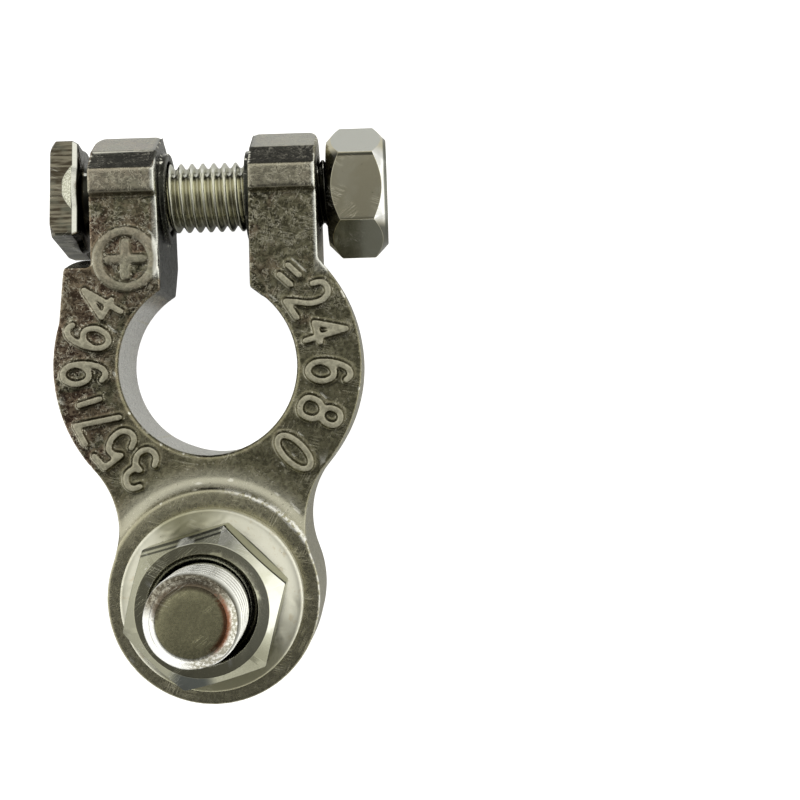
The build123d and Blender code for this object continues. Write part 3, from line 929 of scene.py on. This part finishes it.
def side_nut_finish():
    """M8 nut: one flat painted grey as a reflection, painted shade on the lower one, and chamfers
    with painted shade inside and a painted highlight outside.
    """
    f = plate("side_nut_plate")
    end = SIDE_NUT_HIGH[0]
    side = f.minus(f.axis(Y), BOLT_Y)
    colour = f.mix(f.spread(f.cloud, 0.4, 0.6), (0.80, 0.75, 0.56), (0.88, 0.84, 0.66))
    # painted reflection: the flat facing +Y is made grey
    colour = f.paint(colour, (0.74, 0.75, 0.70), f.facing((0.0, 0.866, 0.5), 0.95, 0.98))
    # painted highlight: a bright crescent on the chamfer facing +X
    outer = f.facing(RIGHT, 0.3, 0.5)
    crescent = f.times(outer, f.facing(UP, 0.45, 0.6), f.spread(side, 5.6, 3.8),
                       f.spread(side, -4.6, -3.4))
    colour = f.paint(colour, (1.0, 1.0, 0.97), crescent)
    # painted shade on one corner of that chamfer
    corner = f.times(outer, f.spread(side, -3.6, -4.6))
    colour = f.paint(colour, (0.12, 0.125, 0.11), corner, 0.9)
    # painted shade on the chamfer facing -X
    inner = f.times(f.facing(LEFT, 0.3, 0.5), f.spread(side, 4.6, 3.4))
    colour = f.paint(colour, (0.025, 0.025, 0.02), inner, 0.96)
    # painted shade line along the edge of the upward flat
    crease = f.times(f.near(side, SIDE_AF / HALF_SIDES - 0.22, 0.26, 0.12),
                     f.facing(UP, 0.9, 0.97))
    colour = f.paint(colour, (0.06, 0.06, 0.045), crease, 0.85)
    # painted shade on the flat facing -Y
    lower = f.facing((0.0, -0.866, 0.5), 0.97, 0.99)
    colour = f.paint(colour, (0.12, 0.13, 0.115), lower, 0.85)
    # painted shade line along the outer rim of the chamfer facing +X
    brim = f.times(outer, f.facing(RIGHT, 0.99, 0.96), f.spread(f.axis(X), end - 0.42, end - 0.22))
    colour = f.paint(colour, (0.15, 0.155, 0.13), brim, 0.95)
    tilt = f.relief(f.spread(f.axis(X), end - 0.7, end + 1.5), 0.45)
    worn = f.spread(brim, 0.0, 0.6, 0.85, 0.0)
    return plate_end(f, colour, 0.15, 0.2, 1.6, tilt, 0.0005, worn)


def bolt_thread_colour(f, out, side):
    """Painted highlights on the crests and painted shade in the roots, a paler painted reflection
    on the upper flank with painted shade notches, and painted shade on the lower flank.
    """
    # painted highlight on the crests and painted shade in the roots
    crests = f.spread(out, BOLT_R - 0.6, BOLT_R - 0.15)
    thread = f.mix(crests, (0.55, 0.53, 0.39), (0.93, 0.92, 0.76))
    # painted reflection: the upper flank is made paler
    thread = f.paint(thread, (0.70, 0.71, 0.66), f.spread(side, 2.1, 2.6), 0.6)
    # painted shade: dark notches in the roots of the upper flank
    root = f.spread(out, BOLT_R - 0.08, BOLT_R - 0.35)
    notch = f.times(f.near(side, 2.2, 0.5, 0.15), root)
    thread = f.paint(thread, (0.03, 0.03, 0.02), notch, 0.95)
    # painted shade on the lower flank
    return f.paint(thread, (0.17, 0.17, 0.13), f.spread(side, -1.6, -3.4), 0.7)


def bolt_head_colour(f, out, x, seat, streaks, outer):
    """Brown streaked flats with painted shade on the lower one, painted highlights on the lens of
    the collar and on the bevel, and the outer face.
    """
    patches = f.noise(0.45, 2.0, 0.5, turn=63.0)
    brown = f.mix(f.spread(patches, 0.42, 0.6), (0.075, 0.062, 0.042), (0.15, 0.15, 0.115))
    brown = f.mix(f.spread(streaks, 0.42, 0.64), brown, (0.29, 0.265, 0.20))
    # painted shade on the flats facing -Y
    under = f.mix(f.spread(streaks, 0.45, 0.6), (0.04, 0.04, 0.03), (0.26, 0.26, 0.21))
    brown = f.paint(brown, under, f.facing((0.0, -0.9, 0.3), 0.5, 0.8))
    # painted highlight on the lens where the collar breaks through the flats
    proud = f.times(f.minus(x, seat - BEVEL - COLLAR_H), COLLAR_SLOPE)
    proud = f.minus(f.minus(out, HEAD_SIDE / 2), proud)
    lens = f.times(f.spread(proud, 0.08, 0.03), f.spread(x, seat - 1.75, seat - 1.65),
                   f.facing(UP, 0.6, 0.8))
    light = f.mix(f.spread(f.grain, 0.4, 0.6), (0.55, 0.55, 0.44), (0.85, 0.85, 0.73))
    skin = f.paint(brown, light, lens)
    # painted highlight on the bevel
    bevel = f.times(f.spread(x, seat - BEVEL - 0.02, seat - BEVEL + 0.06),
                    f.facing(UP, 0.45, 0.65))
    skin = f.paint(skin, (0.96, 0.96, 0.88), bevel)
    face = f.mix(f.spread(patches, 0.35, 0.65), (0.30, 0.275, 0.20), (0.46, 0.43, 0.33))
    return f.paint(skin, face, outer, 0.9)


def side_bolt_finish():
    """M8 bolt: plated thread and a rusted square head, with painted shade, near black, in the gaps
    beside the ears and under the head's edge.
    """
    f = plate("side_bolt_plate")
    out = f.from_axis(Y, Z, BOLT_Y, BOLT_Z)[0]
    x = f.axis(X)
    side = f.minus(f.axis(Y), BOLT_Y)
    seat = BOLT_LOW[0] + HEAD_H
    streaks = f.noise(1.0, 3.0, 0.6, (0.25, 3.2, 3.2))
    outer = f.facing(LEFT, 0.9, 0.97)
    head = f.spread(x, seat + 0.1, seat - 0.1)
    colour = f.mix(head, bolt_thread_colour(f, out, side),
                   bolt_head_colour(f, out, x, seat, streaks, outer))
    # painted shade, near black, in the gaps beside the ears and under the head's edge
    turned = f.times(f.facing(UP, 0.6, 0.4), f.spread(x, seat - 1.3, seat - 0.7))
    gap = f.times(f.spread(f.math("ABSOLUTE", x), 12.4, 12.7), f.spread(x, 15.5, 15.0),
                  f.spread(x, seat - 0.16, seat - 0.04))
    gap_shade = f.math("MAXIMUM", gap, f.times(turned, f.spread(x, seat + 0.2, seat)))
    colour = f.paint(colour, (0.012, 0.012, 0.009), gap_shade, 0.97)
    beside = f.spread(f.total(outer, f.facing(RIGHT, 0.9, 0.97)), 1.0, 0.0)
    below = f.relief(f.times(streaks, head, beside), 0.012)
    return plate_end(f, colour, 0.18, 0.26, 0.8, below, worn=f.times(beside, 0.7))


def stud_finish():
    """M10 bolt: thread with painted highlights on the crests and painted shade in the roots, a
    worn end chamfer with a painted highlight to the lower left, and a tarnished end with some
    rust.
    """
    f = plate("stud_plate")
    out, toward_x, toward_y = f.from_axis(X, Y, 0.0, STUD_Y)
    z = f.axis(Z)
    top = STUD_HIGH[2]
    flecks = f.noise(2.6, 4.0, 0.7)
    flecked = f.spread(flecks, 0.45, 0.6)
    # painted highlight on the crests and painted shade in the roots
    thread = f.mix(f.spread(out, STUD_R - 0.5, STUD_R - 0.06), (0.14, 0.135, 0.105),
                   (0.97, 0.97, 0.92))
    rim = f.times(f.spread(z, top - 1.45, top - 1.25), f.spread(out, STUD_R + 0.3, STUD_R))
    worn = f.mix(flecked, (0.42, 0.40, 0.32), (0.93, 0.92, 0.86))
    upward = f.total((toward_y, 0.9), (toward_x, -0.25))
    brown = f.spread(f.total(upward, (flecks, 0.8)), 0.45, 0.85)
    worn = f.paint(worn, f.mix(flecked, (0.10, 0.08, 0.055), (0.36, 0.33, 0.25)), brown, 0.85)
    # painted highlight to the lower left of the chamfer
    bright = f.total((toward_y, -0.55), (toward_x, -0.8))
    worn = f.paint(worn, (1.0, 1.0, 0.97), f.spread(bright, 0.5, 0.8))
    colour = f.paint(thread, worn, rim)
    end = f.times(f.spread(z, top - 0.05, top - 0.02), f.spread(out, TIP_R - 0.02, TIP_R - 0.2))
    colour = f.paint(colour, (0.76, 0.72, 0.46), end)
    ring = f.near(out, TIP_R - 0.1, 0.6, 0.15)
    ragged = f.times(f.minus(flecks, 0.5), 0.9)
    # darker towards +Y round the edge of the end face
    end_rim_darker_up = f.times(ring, f.spread(f.total(upward, ragged), 0.1, 0.6))
    colour = f.paint(colour, (0.13, 0.10, 0.07), end_rim_darker_up, 0.85)
    red = f.total(f.minus(toward_x, f.times(toward_y, 0.15)), ragged)
    red = f.times(ring, f.spread(red, 0.55, 0.9))
    colour = f.paint(colour, (0.30, 0.10, 0.04), red, 0.9)
    below = f.relief(f.times(flecks, rim, f.spread(end, 1.0, 0.0)), 0.02)
    return plate_end(f, colour, 0.2, 0.3, 1.5, below, worn=0.0)


def washer_finish():
    """Washer: painted light to the right and left, with stains and a burnished relief there, and
    painted shade, olive, elsewhere.
    """
    f = plate("washer_plate")
    out, toward_x, toward_y = f.from_axis(X, Y, 0.0, STUD_Y)
    # painted light on the sectors to the right and left, painted shade elsewhere
    lit_sectors = f.total((toward_x, 0.85), (toward_y, 0.4))
    west = f.times(f.spread(toward_x, -0.2, -0.8), 0.75)
    blotch = f.times(f.minus(f.cloud, 0.5), 0.7)
    lit_sectors = f.spread(f.total(f.math("MAXIMUM", lit_sectors, west), blotch), 0.1, 0.95)
    colour = f.mix(lit_sectors, (0.60, 0.58, 0.405), (1.0, 0.985, 0.86))
    stain = f.times(f.spread(f.noise(0.9, 4.0, 0.65, turn=31.0), 0.55, 0.68), lit_sectors)
    colour = f.paint(colour, (0.72, 0.62, 0.42), stain, 0.5)
    burnished = f.times(lit_sectors, f.spread(f.axis(Z), WASHER_HIGH[2] - 0.2, WASHER_HIGH[2] - 0.05),
                        f.spread(f.minus(10.0, out), 0.0, 3.2, 0.0, 0.95))
    return plate_end(f, colour, 0.42, 0.52, 1.6, f.relief(burnished, 1.3))


for piece, material in (
    (casting(), cast_finish()),
    (stud_nut(), nut_finish()),
    (clamp_nut(), side_nut_finish()),
    (terminal_bolt(), stud_finish()),
    (clamp_bolt(), side_bolt_finish()),
    (washer(), washer_finish()),
):
    piece.data.materials.append(material)

# ------------------------------------------------------------- stage and light

FLOOR_SIDE = 4.0         # metres
DIM_AT = 0.05            # metres from the origin: up to here the floor gives little light
BRIGHT_AT = 0.25         # and from here much
DIM, BRIGHT = 0.12, 0.95


def stage():
    """A floor that looks white and lights the clamp only from farther off."""
    bpy.ops.mesh.primitive_plane_add(size=FLOOR_SIDE, location=(0, 0, 0))
    ground = bpy.context.object
    ground.name = "stage_floor"
    material = bpy.data.materials.new("stage_floor")
    material.use_nodes = True
    nodes, links = material.node_tree.nodes, material.node_tree.links
    shader = nodes["Principled BSDF"]
    shader.inputs["Base Color"].default_value = (0.9, 0.9, 0.9, 1)
    shader.inputs["Roughness"].default_value = 0.9
    shader.inputs["Emission Color"].default_value = (1, 1, 1, 1)
    far = nodes.new("ShaderNodeVectorMath")
    far.operation = "LENGTH"
    links.new(nodes.new("ShaderNodeTexCoord").outputs["Object"], far.inputs[0])
    horizon = nodes.new("ShaderNodeMapRange")
    for socket, value in zip(horizon.inputs[1:5], (DIM_AT, BRIGHT_AT, DIM, BRIGHT)):
        socket.default_value = value
    links.new(far.outputs["Value"], horizon.inputs["Value"])
    glow = nodes.new("ShaderNodeMath")
    glow.operation = "MAXIMUM"
    links.new(nodes.new("ShaderNodeLightPath").outputs["Is Camera Ray"], glow.inputs[0])
    links.new(horizon.outputs[0], glow.inputs[1])
    links.new(glow.outputs[0], shader.inputs["Emission Strength"])
    ground.data.materials.append(material)


# Sky brightness by the cosine from the dark patch overhead, by Y, by X low down, and how
# low that is, by Z.
DARK_AT = (0.0, -0.26, 0.966)
SKY_RISE = ((0.0, 0.2), (0.1, 0.4), (0.25, 0.75), (0.55, 0.85), (0.76, 0.8), (0.9, 0.22),
            (0.96, 0.13), (1.0, 0.11))
SKY_FRONT = ((-1.0, 0.3), (-0.5, 0.4), (-0.12, 1.0), (1.0, 1.0))
SKY_SIDE = ((-1.0, 1.1), (-0.7, 0.85), (-0.35, 0.05), (0.35, 0.05), (0.7, 0.85), (1.0, 1.1))
SKY_LOW = ((0.0, 1.0), (0.5, 0.0))
SKY_TINT = (1.0, 0.995, 0.93)


def world():
    """A soft dome: dark overhead and in front, bright behind and at both sides."""
    sky = bpy.data.worlds.new("studio")
    bpy.context.scene.world = sky
    sky.use_nodes = True
    tree = sky.node_tree

    def math(operation, *values):
        node = tree.nodes.new("ShaderNodeMath")
        node.operation = operation
        for socket, value in zip(node.inputs, values):
            if isinstance(value, bpy.types.NodeSocket):
                tree.links.new(value, socket)
            else:
                socket.default_value = value
        return node.outputs[0]

    def curve(value, stops):
        """Brightness at a value between -1 and 1."""
        ramp = tree.nodes.new("ShaderNodeValToRGB")
        tree.links.new(math("MULTIPLY_ADD", value, 0.5, 0.5), ramp.inputs["Fac"])
        elements = ramp.color_ramp.elements
        while len(elements) < len(stops):
            elements.new(0.5)
        for element, (place, tone) in zip(elements, stops):
            element.position = place / 2 + 0.5
            element.color = (tone, tone, tone, 1)
        return ramp.outputs["Color"]

    where = tree.nodes.new("ShaderNodeTexCoord").outputs["Generated"]
    split = tree.nodes.new("ShaderNodeSeparateXYZ")
    tree.links.new(where, split.inputs[0])
    patch = tree.nodes.new("ShaderNodeVectorMath")
    patch.operation = "DOT_PRODUCT"
    tree.links.new(where, patch.inputs[0])
    patch.inputs[1].default_value = DARK_AT
    rise = curve(patch.outputs["Value"], SKY_RISE)
    front = curve(split.outputs["Y"], SKY_FRONT)
    side = curve(split.outputs["X"], SKY_SIDE)
    low = curve(split.outputs["Z"], SKY_LOW)
    total = math("ADD", math("MULTIPLY", rise, front), math("MULTIPLY", side, low))
    lit = tree.nodes.new("ShaderNodeVectorMath")
    lit.operation = "SCALE"
    lit.inputs[0].default_value = SKY_TINT
    tree.links.new(total, lit.inputs["Scale"])
    seen = tree.nodes.new("ShaderNodeLightPath")
    pick = tree.nodes.new("ShaderNodeMix")
    pick.data_type = "RGBA"
    tree.links.new(seen.outputs["Is Camera Ray"], pick.inputs[0])
    tree.links.new(lit.outputs[0], pick.inputs[6])
    pick.inputs[7].default_value = (1, 1, 1, 1)
    tree.links.new(pick.outputs[2], tree.nodes["Background"].inputs["Color"])


CAMERA_AT = (21.18, -4.46, 182.8)
CAMERA_ROLL = -1.8       # degrees
FOCAL = 1518             # in pixels of the photo
PHOTO_SIDE = 800


def camera():
    """The photo's own viewpoint, straight above the face."""
    data = bpy.data.cameras.new("camera")
    data.sensor_width = 36.0
    data.lens = 36.0 * FOCAL / PHOTO_SIDE
    data.clip_start = 0.005
    data.clip_end = 20
    shot = bpy.data.objects.new("camera", data)
    bpy.context.scene.collection.objects.link(shot)
    shot.location = [v * MM for v in CAMERA_AT]
    shot.rotation_euler = (0, 0, radians(CAMERA_ROLL))
    bpy.context.scene.camera = shot


stage()
world()
camera()
bpy.context.scene.view_settings.view_transform = "Standard"
